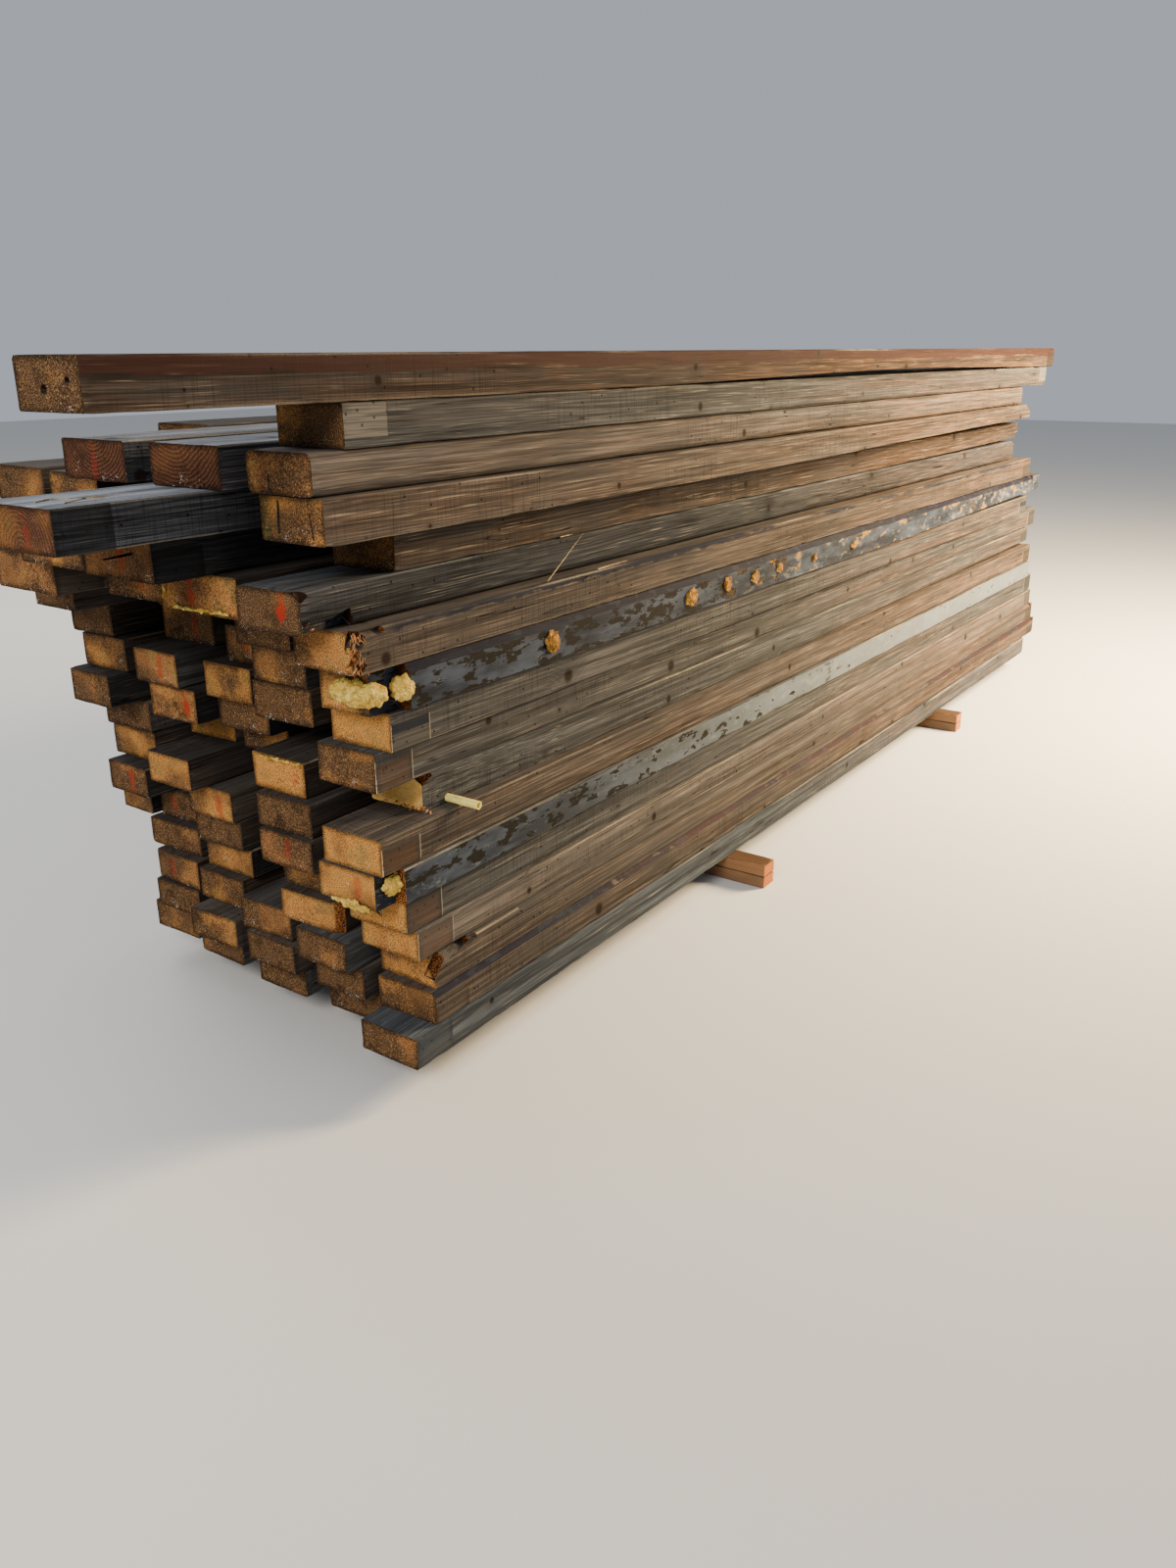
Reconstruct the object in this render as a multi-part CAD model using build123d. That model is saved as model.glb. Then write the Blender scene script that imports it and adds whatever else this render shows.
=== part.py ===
from build123d import *
import math
import os
from collections import namedtuple

# Stack of reclaimed floor joists laid flat in courses on two pairs of bearer laths.
# X runs along the joists with the ragged near ends at -X, the long visible face looks to -Y, Z is up.
# Places are given from a datum at the near ends, the long face and the floor, then moved to the middle.

# Main sizes of the stack, in millimetres.
joist_long = 3900.0
joist_wide = 146.0
joist_thick = 71.0
column_pitch = 186.0

# Arrises of a joist, the rounder arrises of a worn one, and how far ends are cut out of square, in degrees.
ease = 3.0
worn_ease = 13.0
square_slack = 1.6
clear = 1.0

# Bearers: at two shares of the joists' length, each a pair of laths with one on the other.
bearer_shares = (0.327, 0.748)
bearer_wide = 58.0
lath_high = 32.5
bearer_reach_front = (130.0, 100.0)
bearer_reach_back = 60.0

# One joist: its column, shift from the column's line, near end, and how much longer, wider and thicker
# it is than the common joist.
Joist = namedtuple("Joist", "column shift near longer wider thicker")

courses = [
    [
        Joist(0, -20, 18, 97, 0, -4),
        Joist(1, -36, 100, 10, 0, -3),
        Joist(2, -17, 92, -42, 0, -3),
        Joist(3, 15, 112, 8, 0, -4),
        Joist(4, 18, 140, -55, 0, -3),
    ],
    [
        Joist(0, -16, 76, 184, 0, -2),
        Joist(1, -30, 64, -24, -8, -2),
        Joist(2, -23, 61, 39, 0, -3),
        Joist(3, -18, 71, -11, 0, -2),
        Joist(4, -14, 128, 12, 0, -3),
    ],
    [
        Joist(0, -10, 90, 140, 0, -1),
        Joist(1, -16, 35, -35, -6, -1),
        Joist(2, -7, 70, 15, 0, -1),
        Joist(3, 2, 121, 29, 0, -1),
        Joist(4, -18, 133, -63, 0, 0),
    ],
    [
        Joist(0, 0, 57, 158, 0, -10),
        Joist(1, 14, 49, 31, 12, -5),
        Joist(2, 13, 205, -105, 0, -5),
        Joist(3, -9, 142, -92, 8, -5),
        Joist(4, -9, 153, -23, 25, -5),
    ],
    [
        Joist(0, 8, 37, 183, 0, -2),
        Joist(1, 40, 72, -7, 0, -2),
        Joist(2, 20, 176, -61, 0, -2),
        Joist(3, -2, 125, -35, 0, -2),
        Joist(4, 1, 176, -116, 0, -2),
        Joist(5, -28, 160, -120, -38, -2),
    ],
    [
        Joist(0, -4, -23, 143, 20, -1),
        Joist(1, 33, 16, 74, 0, -1),
        Joist(2, 20, 190, -85, 0, -1),
        Joist(3, 2, 112, -57, -6, -1),
        Joist(4, 87, 106, -6, -6, -1),
    ],
    [
        Joist(0, 2, -20, 145, 0, -1),
        Joist(1, 40, 24, 36, 0, -1),
        Joist(2, 36, 180, -95, 0, -1),
        Joist(3, 69, 68, -68, -6, -1),
        Joist(4, 104, 150, -40, 0, 0),
    ],
    [
        Joist(0, 20, 128, -8, 0, 1),
        Joist(1, 64, 42, 33, 0, 2),
        Joist(2, 90, 198, -78, 0, 2),
        Joist(3, 83, 205, -160, 0, 2),
        Joist(4, 102, 145, -55, 12, 1),
    ],
    [
        Joist(0, 30, 6, 237, 0, 3),
        Joist(1, 36, 262, -162, 0, 2),
        Joist(2, 56, 118, -93, 0, 2),
        Joist(3, 54, 92, -2, 0, 2),
        Joist(4, 116, 65, -15, -6, 3),
    ],
    [
        Joist(0, 8, 28, -23, 0, 1),
        Joist(1, 28, 38, 2, 8, 3),
        Joist(2, 55, 85, 0, -6, 3),
        Joist(3, 90, 83, -18, -4, 2),
        Joist(4, 102, 105, -85, 0, 2),
    ],
    [
        Joist(0, -10, -8, 98, 0, 13),
        Joist(1, 32, 38, -38, 0, 3),
        Joist(2, 8, 108, -18, -6, 3),
        Joist(3, 82, 175, -115, 12, 3),
        Joist(4, 134, 104, -74, -4, 3),
    ],
    [
        Joist(0, -4, -58, 8, 0, 2),
        Joist(1, 31, 6, 49, 0, 6),
        Joist(2, 38, 165, -155, 0, 6),
        Joist(3, 82, 160, -75, 0, 5),
        Joist(4, 108, 10, -20, 0, 5),
    ],
    [
        Joist(0, 38, -126, -44, 6, 1),
        Joist(1, 30, -104, 64, 50, 1),
        Joist(2, 53, -72, 77, 44, 1),
        Joist(4, -76, -140, 120, 50, 1),
    ],
    [
        Joist(0, 40, 93, -208, 0, 0),
        Joist(1, 84, -216, 146, 44, 0),
        Joist(2, 114, -196, 156, 44, 0),
        Joist(4, -24, 60, -20, 25, 0),
    ],
    [
        Joist(0, -12, -109, -61, 0, 2),
        Joist(1, 50, -400, 140, 44, 0),
        Joist(2, 80, 30, -60, 0, 0),
        Joist(3, 82, -45, 45, 4, 0),
        Joist(4, 106, -20, -45, 25, 0),
    ],
    [
        Joist(0, 6, -110, -134, 0, -3),
        Joist(1, 26, -115, 5, 25, 0),
        Joist(2, 64, -124, 74, 32, 0),
        Joist(4, -54, 262, -177, 25, 0),
    ],
    [
        Joist(0, 2, -43, 92, 0, -1),
        Joist(1, 10, 152, -152, 0, -1),
    ],
    [
        Joist(0, -4, -484, 601, 0, 0),
    ],
]

# Below, a joist is named by its course, counted from 1 at the floor, and its place in that list.
# Joists with worn, rounded arrises and joists with ends cut dead square.
worn = [(16, 0), (13, 0)]
dead_square = [(6, 0), (11, 0)]

# Ends notched out of the front side.
Notch = namedtuple("Notch", "course place long deep")
end_notches = [
    Notch(6, 0, 52, 26),
    Notch(11, 0, 72, 30),
]

# Wane: the front arris lost between two places from the near end.
Wane = namedtuple("Wane", "course place arris start end wide drop")
wanes = [
    Wane(2, 0, "top", 0, 4060, 9, 12),
    Wane(3, 0, "top", 260, 4010, 16, 14),
    Wane(11, 0, "top", 60, 3900, 14, 16),
    Wane(13, 0, "top", 700, 2100, 10, 7),
    Wane(15, 0, "low", 2400, 3700, 9, 8),
    Wane(17, 0, "top", 2500, 3300, 8, 6),
]

# Crooked joists: a flat arch in the underside from the near end. A turn of 180 degrees closes it again,
# one of 90 leaves it open at the far end.
Arch = namedtuple("Arch", "course place start end rise turn")
arches = [
    Arch(2, 0, 900, 3800, 5, 180),
    Arch(8, 0, 1370, 3930, 18, 90),
    Arch(10, 0, 1450, 3700, 7, 180),
    Arch(11, 0, 2300, 4040, 20, 90),
    Arch(14, 0, 1900, 3720, 14, 90),
    Arch(15, 0, 1300, 3860, 24, 90),
    Arch(16, 0, 600, 3700, 9, 180),
    Arch(17, 0, 740, 3650, 9, 180),
    Arch(18, 0, 1380, 4330, 16, 180),
]

# Broken corners, facets and pockets: a tilted block cut out at an end ("near" or "far"). Its middle is
# given inward from that end, from the joist's face and from its underside, then its sizes and its tilts.
Bite = namedtuple("Bite", "course place end x y z long wide high roll pitch yaw")
bites = [
    Bite(3, 0, "near", 30, 0, 70, 150, 30, 30, 38, 9, 11),
    Bite(3, 0, "near", 2, 4, 52, 46, 22, 60, 12, 25, 28),
    Bite(3, 0, "near", 92, 0, 66, 60, 14, 22, 50, -12, 6),
    Bite(4, 1, "near", 0, 0, 33, 34, 34, 120, 0, 0, 38),
    Bite(8, 0, "near", 216, -6, 36, 480, 30, 100, 0, 0, -2.4),
    Bite(8, 0, "near", 0, 24, 74, 44, 40, 26, 28, 33, 20),
    Bite(8, 0, "near", 6, 48, 76, 26, 30, 14, 14, 40, -12),
    Bite(12, 0, "near", 2, 2, 12, 30, 26, 34, 20, 30, 40),
    Bite(12, 0, "near", 0, 5, 38, 24, 22, 30, -18, 22, 52),
    Bite(12, 0, "near", 4, 3, 62, 38, 28, 36, 32, -28, 35),
    Bite(12, 0, "near", 40, 0, 70, 60, 13, 16, 44, 6, 3),
    Bite(13, 0, "near", 58, 0, 6, 108, 46, 28, 14, 3, 2),
    Bite(13, 0, "near", 90, 4, 12, 40, 44, 30, 30, -12, -8),
    Bite(13, 0, "near", 0, 0, 71, 34, 22, 20, 35, 30, 25),
    Bite(14, 0, "far", 0, 20, 60, 70, 60, 40, 20, 30, 25),
    Bite(14, 0, "far", 6, 96, 30, 40, 50, 90, 8, 12, -24),
    Bite(14, 0, "far", 14, 0, 14, 60, 26, 40, -30, -14, 30),
    Bite(15, 0, "far", 0, 10, 70, 110, 46, 34, 26, 20, 12),
    Bite(15, 0, "far", 4, 120, 36, 34, 70, 96, 0, 14, 22),
    Bite(15, 1, "near", 0, 190, 71, 40, 34, 24, -30, 32, -22),
    Bite(9, 1, "near", 0, 0, 73, 36, 26, 24, 30, 30, 18),
]

# Drying cracks in ends: middle from the face and from the underside, tilt from upright, length across the
# end, width at the mouth and depth along the joist.
Crack = namedtuple("Crack", "course place end y z tilt long mouth deep")
cracks = [
    Crack(15, 0, "near", 104, 40, 4, 50, 2.6, 90),
    Crack(15, 0, "near", 30, 30, -8, 40, 2.2, 60),
    Crack(16, 0, "near", 98, 14, 3, 36, 2.0, 60),
    Crack(14, 1, "near", 92, 38, 78, 84, 2.0, 90),
    Crack(5, 0, "near", 80, 34, -58, 40, 1.8, 60),
    Crack(12, 0, "far", 70, 36, 66, 60, 2.4, 70),
    Crack(17, 0, "far", 60, 34, -70, 56, 2.4, 80),
    Crack(7, 2, "far", 80, 36, 74, 60, 2.4, 80),
]

# Round pits in ends: middle from the face and from the underside, width and depth.
Pit = namedtuple("Pit", "course place end y z wide deep")
pits = [
    Pit(18, 0, "near", 83, 29, 12, 16),
    Pit(18, 0, "near", 29, 40, 9, 12),
    Pit(13, 2, "near", 110, 44, 10, 12),
]

# Conduit stub through a slot in the underside of one joist, inward from its near end.
conduit_joist = (8, 0)
conduit_inward = 70.0
conduit_outer = 16.0
conduit_wall = 1.6
conduit_proud = 60.0
conduit_inside = 96.0

# Cured gap foam: rounded lumps given by their middle, inward from the near end, from the joist's face and
# from its underside, and their half sizes. What would lie inside the wood is cut away.
Lump = namedtuple("Lump", "course place x y z half_x half_y half_z")
foam_lumps = [
    Lump(6, 0, 52, 30, 42, 40, 30, 25),
    Lump(6, 0, 3, 86, 3, 15, 54, 12),
    Lump(11, 0, 6, 60, 40, 34, 64, 29),
    Lump(11, 0, 63, 11, 41.5, 22, 23, 26.5),
    Lump(11, 0, 483, 3, 42, 26, 15, 27),
    Lump(11, 0, 1035, 3, 40, 30, 14, 25),
    Lump(11, 0, 1214, 3, 44, 22, 13, 22),
    Lump(11, 0, 1361, 3, 38, 25, 14, 20),
    Lump(11, 0, 1502, 3, 42, 19, 11, 17),
    Lump(11, 0, 1721, 2, 40, 17, 8, 14),
    Lump(11, 0, 1997, 2, 38, 22, 9, 15),
]

# Foam squeezed out along an end, as a three-sided bead: middle from the face and from the underside,
# its length, tilt from level and how far it stands proud.
Bead = namedtuple("Bead", "course place y z long tilt proud")
foam_beads = [
    Bead(8, 1, 66, 67, 118, 0, 5),
    Bead(13, 1, 92, 8, 150, 0, 6),
    Bead(13, 1, 184, 40, 44, 86, 5),
]

Beam = namedtuple("Beam", "near far face wide thick base")
bearer_high = 2 * lath_high


def block(x0, x1, y0, y1, z0, z1):
    return Pos((x0 + x1) / 2, (y0 + y1) / 2, (z0 + z1) / 2) * Box(x1 - x0, y1 - y0, z1 - z0)


def settle():
    """Works out each joist's place and drops it on the highest joist below it."""
    laid = []
    for row in courses:
        found = []
        for joist in row:
            face = joist.column * column_pitch + joist.shift
            wide = joist_wide + joist.wider
            base = bearer_high
            for below in laid[-1] if laid else []:
                if below.face < face + wide and face < below.face + below.wide:
                    base = max(base, below.base + below.thick)
            far = joist.near + joist_long + joist.longer
            found.append(Beam(joist.near, far, face, wide, joist_thick + joist.thicker, base))
        laid.append(found)
    return laid


def section(beam, radius, flats):
    """Corners of the cross section, with each arris eased by a number of flats."""
    y0, y1 = beam.face + radius, beam.face + beam.wide - radius
    z0, z1 = beam.base + radius, beam.base + beam.thick - radius
    corners = []
    for y, z, start in ((y1, z0, 270), (y1, z1, 0), (y0, z1, 90), (y0, z0, 180)):
        for step in range(flats + 1):
            angle = math.radians(start + 90 * step / flats)
            corners.append((y + radius * math.cos(angle), z + radius * math.sin(angle)))
    return corners


def prism(points, path):
    """A straight solid from the corners of a flat face and the way it is drawn out."""
    return Solid.extrude(Face(Wire.make_polygon([Vector(*p) for p in points], close=True)), Vector(*path))


def timber(beam, name, lean_near, lean_far):
    """A joist with eased arrises and ends cut a little out of square."""
    corners = section(beam, worn_ease, 4) if name in worn else section(beam, ease, 1)
    body = prism([(beam.near, y, z) for y, z in corners], (beam.far - beam.near, 0, 0))
    reach = beam.wide
    for at, lean, side in ((beam.near, lean_near, -1), (beam.far, lean_far, 1)):
        inset = reach / 2 * math.tan(math.radians(abs(lean)))
        cutter = Pos(side * reach / 2, 0, 0) * Box(reach, 2 * reach, 2 * reach)
        middle = Pos(at - side * inset, beam.face + beam.wide / 2, beam.base + beam.thick / 2)
        body = body - middle * Rot(0, 0, lean) * cutter
    return body


def lost_arris(beam, wane):
    x0 = beam.near + wane.start
    y = beam.face
    up = 1 if wane.arris == "top" else -1
    z = beam.base + beam.thick if wane.arris == "top" else beam.base
    over = wane.wide
    corners = [(y - over, z + up * over), (y + wane.wide, z + up * over), (y + wane.wide, z),
               (y, z - up * wane.drop), (y - over, z - up * wane.drop)]
    return prism([(x0, a, b) for a, b in corners], (wane.end - wane.start, 0, 0))


def arch_space(beam, arch, steps=10):
    """The room under a crooked joist, in straight lengths."""
    x0 = beam.near + arch.start
    span = arch.end - arch.start
    under = beam.base - arch.rise
    points = [(x0, beam.face - arch.rise, under)]
    for step in range(steps + 1):
        share = step / steps
        lift = arch.rise * math.sin(math.radians(arch.turn) * share)
        points.append((x0 + span * share, beam.face - arch.rise, beam.base + lift))
    points.append((x0 + span, beam.face - arch.rise, under))
    return prism(points, (0, beam.wide + 2 * arch.rise, 0))


def at_end(beam, end, x, y, z):
    """A place given inward from an end, from the joist's face and from its underside."""
    along = beam.near + x if end == "near" else beam.far - x
    return Pos(along, beam.face + y, beam.base + z)


def broken(beam, bite):
    spot = at_end(beam, bite.end, bite.x, bite.y, bite.z)
    return spot * Rot(bite.roll, bite.pitch, bite.yaw) * Box(bite.long, bite.wide, bite.high)


def wedge(beam, crack):
    """Wedge-shaped crack with its mouth at an end of the joist."""
    inward = 1 if crack.end == "near" else -1
    over = crack.deep / 4
    mouth = crack.mouth / 2 * (1 + over / crack.deep)
    points = [(-inward * over, -mouth, 0), (-inward * over, mouth, 0), (inward * crack.deep, 0, 0)]
    solid = Pos(0, 0, -crack.long / 2) * prism(points, (0, 0, crack.long))
    return at_end(beam, crack.end, 0, crack.y, crack.z) * Rot(crack.tilt, 0, 0) * solid


def bead_bar(beam, bead):
    """Square bar on edge, half of it inside the wood."""
    side = bead.proud * math.sqrt(2)
    bar = Rot(bead.tilt, 0, 0) * Rot(0, 45, 0) * Box(side, bead.long, side)
    return at_end(beam, "near", 0, bead.y, bead.z) * bar


def pit_hole(beam, pit):
    return at_end(beam, pit.end, 0, pit.y, pit.z) * Rot(0, 90, 0) * Cylinder(pit.wide / 2, 2 * pit.deep)


def conduit_slot(beam):
    at = beam.near + conduit_inward
    size = conduit_outer + 2 * clear
    return block(at - size / 2, at + size / 2, beam.face - size, beam.face + conduit_inside + clear,
                 beam.base - size, beam.base + conduit_outer + clear)


def save(name, solids):
    placed = [s.moved(Location((-mid_x, -mid_y, 0))) for item in solids for s in item.solids()]
    export_step(Compound(children=placed), "parts/" + name + ".step")


os.makedirs("parts", exist_ok=True)
laid = settle()
beams = [beam for row in laid for beam in row]
front_most = -max(bearer_reach_front)
back_most = max(beam.face + beam.wide for beam in beams) + bearer_reach_back
mid_x = (min(beam.near for beam in beams) + max(beam.far for beam in beams)) / 2
mid_y = (front_most + back_most) / 2

bodies = {}
for level, row in enumerate(laid):
    for place, beam in enumerate(row):
        name = (level + 1, place)
        slack = 0 if name in dead_square else square_slack
        lean_near = slack * math.sin(2.1 * level + 1.7 * place)
        lean_far = slack * math.sin(1.3 * level + 2.9 * place)
        body = timber(beam, name, lean_near, lean_far)
        for notch in end_notches:
            if name == notch[:2]:
                body = body - block(beam.near - notch.long, beam.near + notch.long, beam.face - notch.deep,
                                    beam.face + notch.deep, beam.base - notch.deep,
                                    beam.base + beam.thick + notch.deep)
        for table, cut in ((wanes, lost_arris), (arches, arch_space), (bites, broken), (cracks, wedge),
                           (pits, pit_hole)):
            for row_of in table:
                if name == row_of[:2]:
                    body = body - cut(beam, row_of)
        if name == conduit_joist:
            body = body - conduit_slot(beam)
        bodies[name] = max(body.solids(), key=lambda solid: solid.volume)

for level, row in enumerate(laid):
    save("course_%02d" % (level + 1), [bodies[level + 1, place] for place in range(len(row))])

laths = {"bearers_lower": [], "bearers_upper": []}
for share, reach_front in zip(bearer_shares, bearer_reach_front):
    at = share * joist_long
    for tier, node in enumerate(laths):
        laths[node].append(block(at - bearer_wide / 2, at + bearer_wide / 2, -reach_front, back_most,
                                 tier * lath_high, (tier + 1) * lath_high))
for node, solids in laths.items():
    save(node, solids)

host = laid[conduit_joist[0] - 1][conduit_joist[1]]
tube_long = conduit_proud + conduit_inside
tube = Cylinder(conduit_outer / 2, tube_long) - Cylinder(conduit_outer / 2 - conduit_wall, tube_long)
tube_middle = Pos(host.near + conduit_inward, host.face - conduit_proud + tube_long / 2,
                  host.base + conduit_outer / 2)
save("conduit_stub", [tube_middle * Rot(90, 0, 0) * tube])

foam = []
for lump in foam_lumps:
    beam = laid[lump.course - 1][lump.place]
    ball = scale(Rot(0, 0, 215) * Sphere(1), by=(lump.half_x, lump.half_y, lump.half_z))
    rest = at_end(beam, "near", lump.x, lump.y, lump.z) * ball - bodies[lump.course, lump.place]
    for other in foam:
        rest = rest - other
    foam.append(rest)
for bead in foam_beads:
    foam.append(bead_bar(laid[bead.course - 1][bead.place], bead) - bodies[bead.course, bead.place])
save("foam_residue", foam)
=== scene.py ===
import math
import random
import bmesh
import bpy
import numpy as np
from mathutils import Matrix, Vector, noise


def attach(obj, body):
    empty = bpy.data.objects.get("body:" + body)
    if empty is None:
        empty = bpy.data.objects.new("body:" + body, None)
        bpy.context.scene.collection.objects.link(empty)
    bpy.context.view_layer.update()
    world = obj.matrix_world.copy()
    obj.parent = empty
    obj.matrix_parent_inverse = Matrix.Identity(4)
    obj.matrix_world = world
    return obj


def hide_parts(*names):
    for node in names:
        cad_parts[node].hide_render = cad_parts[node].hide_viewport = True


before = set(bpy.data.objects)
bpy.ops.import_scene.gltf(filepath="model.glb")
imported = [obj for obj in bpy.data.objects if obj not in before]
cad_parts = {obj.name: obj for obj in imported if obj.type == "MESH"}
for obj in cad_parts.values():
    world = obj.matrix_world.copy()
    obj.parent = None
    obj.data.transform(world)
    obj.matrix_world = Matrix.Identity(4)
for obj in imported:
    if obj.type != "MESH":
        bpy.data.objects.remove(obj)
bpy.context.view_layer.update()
print("frame loaded")


# Shader maths: a Val wraps a socket, so that an expression on it adds its nodes.
class Val:
    def __init__(self, shader, socket):
        self.shader = shader
        self.socket = socket

    def mathWith(self, operation, first, second):
        vector = any(isinstance(v, Val) and v.socket.type == "VECTOR" for v in (first, second))
        if vector and operation == "MULTIPLY":
            return self.shader.add("ShaderNodeVectorMath", {"operation": "SCALE"}, {0: first, 3: second})
        kind = "ShaderNodeVectorMath" if vector else "ShaderNodeMath"
        return self.shader.add(kind, {"operation": operation}, {0: first, 1: second})

    def __add__(self, other):
        return self.mathWith("ADD", self, other)

    def __sub__(self, other):
        return self.mathWith("SUBTRACT", self, other)

    def __rsub__(self, other):
        return self.mathWith("SUBTRACT", other, self)

    def __mul__(self, other):
        return self.mathWith("MULTIPLY", self, other)

    def __truediv__(self, other):
        return self.mathWith("DIVIDE", self, other)

    __radd__ = __add__
    __rmul__ = __mul__


class Shader:
    def __init__(self, name):
        self.material = bpy.data.materials.new(name)
        self.material.use_nodes = True
        self.tree = self.material.node_tree
        self.tree.nodes.clear()

    def add(self, kind, settings=None, values=None, out=0):
        node = self.tree.nodes.new(kind)
        for key, value in (settings or {}).items():
            setattr(node, key, value)
        for key, value in (values or {}).items():
            if isinstance(value, Val):
                self.tree.links.new(value.socket, node.inputs[key])
            else:
                node.inputs[key].default_value = value
        return Val(self, node.outputs[out]) if node.outputs else None

    def vector(self, name):
        return self.add("ShaderNodeAttribute", {"attribute_name": name}, out=1)

    def number(self, name):
        return self.add("ShaderNodeAttribute", {"attribute_name": name}, out=2)

    def objectPlace(self):
        return self.add("ShaderNodeTexCoord", out=3)

    def split(self, vector):
        first = self.add("ShaderNodeSeparateXYZ", values={0: vector})
        return [Val(self, socket) for socket in first.socket.node.outputs]

    def join(self, x, y, z=0.0):
        return self.add("ShaderNodeCombineXYZ", values={0: x, 1: y, 2: z})

    def rough(self, place, scale=1.0, detail=2.0, roughness=0.5, warp=0.0):
        values = {"Vector": place, "Scale": scale, "Detail": detail, "Roughness": roughness}
        return self.add("ShaderNodeTexNoise", values={**values, "Distortion": warp})

    def between(self, value, low, high):
        settings = {"interpolation_type": "SMOOTHSTEP"}
        return self.add("ShaderNodeMapRange", settings, {0: value, 1: low, 2: high})

    def least(self, a, b):
        return self.add("ShaderNodeMath", {"operation": "MINIMUM"}, {0: a, 1: b})

    def most(self, a, b):
        return self.add("ShaderNodeMath", {"operation": "MAXIMUM"}, {0: a, 1: b})

    def size(self, value):
        return self.add("ShaderNodeMath", {"operation": "ABSOLUTE"}, {0: value})

    def part(self, value):
        return self.add("ShaderNodeMath", {"operation": "FRACT"}, {0: value})

    def root(self, value):
        return self.add("ShaderNodeMath", {"operation": "SQRT"}, {0: value})

    def blend(self, factor, a, b, how="MIX"):
        a, b = [(*c, 1.0) if isinstance(c, tuple) else c for c in (a, b)]
        settings = {"data_type": "RGBA", "blend_type": how}
        return self.add("ShaderNodeMix", settings, {0: factor, 6: a, 7: b}, out=2)

    def spots(self, place, scale, out=0, dimensions="3D"):
        key = "W" if dimensions == "1D" else "Vector"
        settings = {"voronoi_dimensions": dimensions}
        return self.add("ShaderNodeTexVoronoi", settings, {key: place, "Scale": scale}, out=out)

    def relief(self, height, depth, strength):
        values = {"Height": height, "Distance": depth, "Strength": strength}
        return self.add("ShaderNodeBump", values=values)

    def finish(self, color, roughness, normal, fixed=None):
        values = {"Base Color": color, "Roughness": roughness, "Normal": normal, **(fixed or {})}
        surface = self.add("ShaderNodeBsdfPrincipled", values=values)
        self.add("ShaderNodeOutputMaterial", values={"Surface": surface})
        return self.material


def srgb(red, green, blue):
    return tuple((c / 255) ** 2.2 for c in (red, green, blue))


# Colours of the old sawn softwood and of what is on it; some also carry painted shade and painted
# highlights on the ends.
woodLook = {
    "warmSide": srgb(116, 83, 58),
    "greySide": srgb(90, 92, 93),
    "stainAndShade": srgb(28, 24, 22),
    "paleTop": srgb(166, 172, 182),
    "goldenEnd": srgb(206, 142, 74),
    "paleEndAndHighlight": srgb(238, 190, 108),
    "brownEnd": srgb(158, 106, 68),
    "darkEnd": srgb(92, 68, 50),
    "freshEnd": srgb(255, 210, 118),
    "ringedEnd": srgb(38, 22, 22),
    "ringedPale": srgb(94, 60, 48),
    "greenEnd": srgb(62, 70, 48),
    "brokenDarkAndShade": srgb(44, 30, 22),
    "brokenPale": srgb(176, 108, 54),
    "soot": srgb(20, 17, 16),
    "paleFibre": srgb(200, 182, 152),
    "chalk": srgb(222, 214, 198),
    "knot": srgb(34, 25, 20),
    "redSmear": srgb(160, 44, 32),
    "bluePaint": srgb(62, 69, 80),
    "deepPaint": srgb(30, 34, 42),
    "palePaint": srgb(132, 139, 139),
    "violetPaint": srgb(17, 19, 34),
    "winePaint": srgb(48, 33, 35),
    "paintScab": srgb(24, 22, 18),
    "rust": srgb(156, 114, 40),
    "wetStain": srgb(52, 31, 26),
    "blueSkin": srgb(33, 37, 47),
    "printMiddle": srgb(74, 54, 40),
    "inkedPrint": srgb(32, 36, 43),
    "greyPrint": srgb(72, 69, 65),
    "palePrint": srgb(102, 97, 90),
}
# Sizes of its marks in metres, and how many there are in a metre.
woodMarks = {
    "knots": 2.1,
    "knotScatter": 0.07,
    "knotRadius": 0.005,
    "knotVary": 0.015,
    "rings": 260.0,
    "wideRings": 150.0,
    "crackWidth": 0.008,
    "nails": 16.0,
    "hangerNails": 30.0,
    "wornWidth": 0.005,
    "rimWidth": 0.013,
    "brokenDepth": 0.007,
    "skinFrom": 0.024,
    "bandFrom": 0.007,
    "reliefDepth": 0.0013,
    "sheen": 0.06,
}
# Its noises: counts in a metre along, across and up, then detail, roughness and warp.
woodNoises = {
    "wander": (0.7, 6.0, 6.0, 2.0, 0.5, 0.0),
    "blotch": (3.4, 13.0, 13.0, 4.0, 0.65, 0.0),
    "broad": (0.9, 24.0, 24.0, 3.0, 0.6, 0.0),
    "fibre": (7.0, 360.0, 360.0, 2.0, 0.6, 0.0),
    "sawLines": (420.0, 12.0, 12.0, 1.0, 0.6, 0.0),
    "hair": (4.0, 560.0, 560.0, 1.0, 0.5, 0.0),
    "grit": (240.0, 430.0, 430.0, 2.0, 0.8, 0.0),
    "endBlotch": (2.0, 26.0, 26.0, 3.0, 0.6, 0.0),
    "endShade": (1.0, 10.0, 12.0, 1.0, 0.5, 0.0),
    "flakes": (20.0, 36.0, 44.0, 4.0, 0.62, 0.0),
    "streaks": (1.3, 95.0, 95.0, 3.0, 0.6, 0.3),
    "patches": (9.0, 50.0, 50.0, 5.0, 0.7, 0.0),
}


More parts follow.
